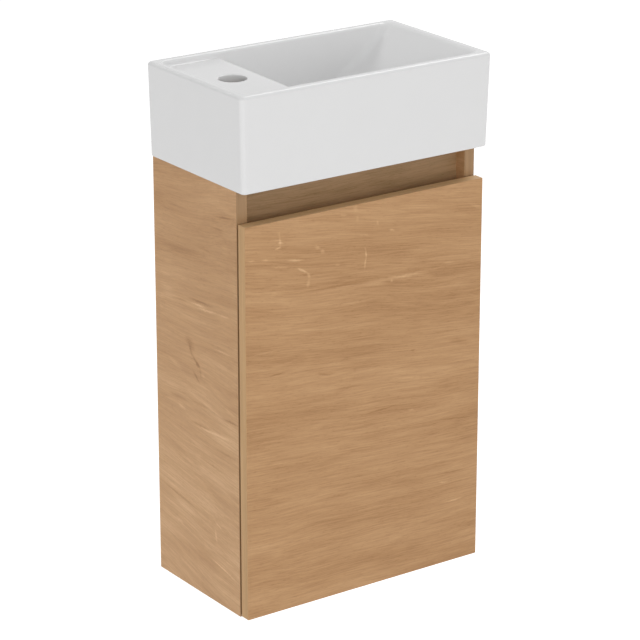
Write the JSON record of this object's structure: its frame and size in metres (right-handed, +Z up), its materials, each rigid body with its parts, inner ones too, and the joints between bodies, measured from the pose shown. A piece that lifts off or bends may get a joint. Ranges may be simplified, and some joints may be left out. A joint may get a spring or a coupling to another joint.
{
  "type": "wall-hung vanity unit",
  "caption": "Narrow wall-hung vanity unit: ceramic hand-rinse basin with a tap ledge and sloping end over an oak-effect cabinet with one hinged door and a recessed finger grip.",
  "frame": {"origin": "midway between the two wall screws of the hangers, on the wall plane", "axes": "+X to the right seen from the front, +Y into the wall, +Z up"},
  "size_m": [0.37, 0.208, 0.673],
  "materials": {
    "glazed_ceramic": "gloss white glaze",
    "oak_board": "oak-effect foil with fine grain, satin",
    "nickel_steel": "nickel-plated pressed steel",
    "zinc_steel": "zinc-plated steel",
    "cast_zinc": "die-cast zinc, dull",
    "beech": "fluted beech, untreated",
    "grey_plastic": "moulded light grey plastic",
    "white_plastic": "moulded white plastic",
    "clear_bumper": "soft clear polyurethane"
  },
  "bodies": {
    "root": {"basin": "glazed_ceramic", "left_side_panel": "oak_board", "right_side_panel": "oak_board", "bottom_panel": "oak_board", "front_top_rail": "oak_board", "rear_top_rail": "oak_board", "rear_bottom_rail": "oak_board", "shelf": "oak_board", "shelf_pins": "nickel_steel", "cam_locks": "cast_zinc", "cam_bolts": "zinc_steel", "wood_dowels": "beech", "left_hanger_housing": "grey_plastic", "right_hanger_housing": "grey_plastic", "left_hanger_hook": "zinc_steel", "right_hanger_hook": "zinc_steel", "left_hanger_cover": "white_plastic", "right_hanger_cover": "white_plastic", "left_wall_plate": "zinc_steel", "right_wall_plate": "zinc_steel", "hanger_adjusters": "zinc_steel", "hanger_screws": "zinc_steel", "upper_mounting_plate": "nickel_steel", "lower_mounting_plate": "nickel_steel", "upper_hinge_arm": "nickel_steel", "lower_hinge_arm": "nickel_steel", "arm_pins": "nickel_steel", "plate_screws": "nickel_steel", "arm_screws": "nickel_steel"},
    "outer_links": {"upper_outer_link": "nickel_steel", "lower_outer_link": "nickel_steel"},
    "door": {"door_panel": "oak_board", "door_bumpers": "clear_bumper", "upper_hinge_cup": "nickel_steel", "lower_hinge_cup": "nickel_steel", "cup_pins": "nickel_steel", "cup_screws": "nickel_steel"},
    "inner_links": {"upper_inner_link": "nickel_steel", "lower_inner_link": "nickel_steel"}
  },
  "joints": [
    {"name": "outer_link_swing", "type": "hinge", "parent": "root", "child": "outer_links", "pos_m": [0.15112, -0.17425, 0], "axis": [0, 0, -1], "range_deg": [0, 27.27]},
    {"name": "door_swing", "type": "hinge", "parent": "outer_links", "child": "door", "pos_m": [0.1694, -0.1898, 0], "axis": [0, 0, 1], "range_deg": [0, 122.27]},
    {"name": "inner_link_swing", "type": "hinge", "parent": "door", "child": "inner_links", "pos_m": [0.16409, -0.19258, 0], "axis": [0, 0, -1], "range_deg": [0, 127.4]}
  ],
  "couplings": [
    {"joint": "outer_link_swing", "follows": "door_swing", "ratio": 0.223},
    {"joint": "inner_link_swing", "follows": "door_swing", "ratio": 1.042}
  ]
}
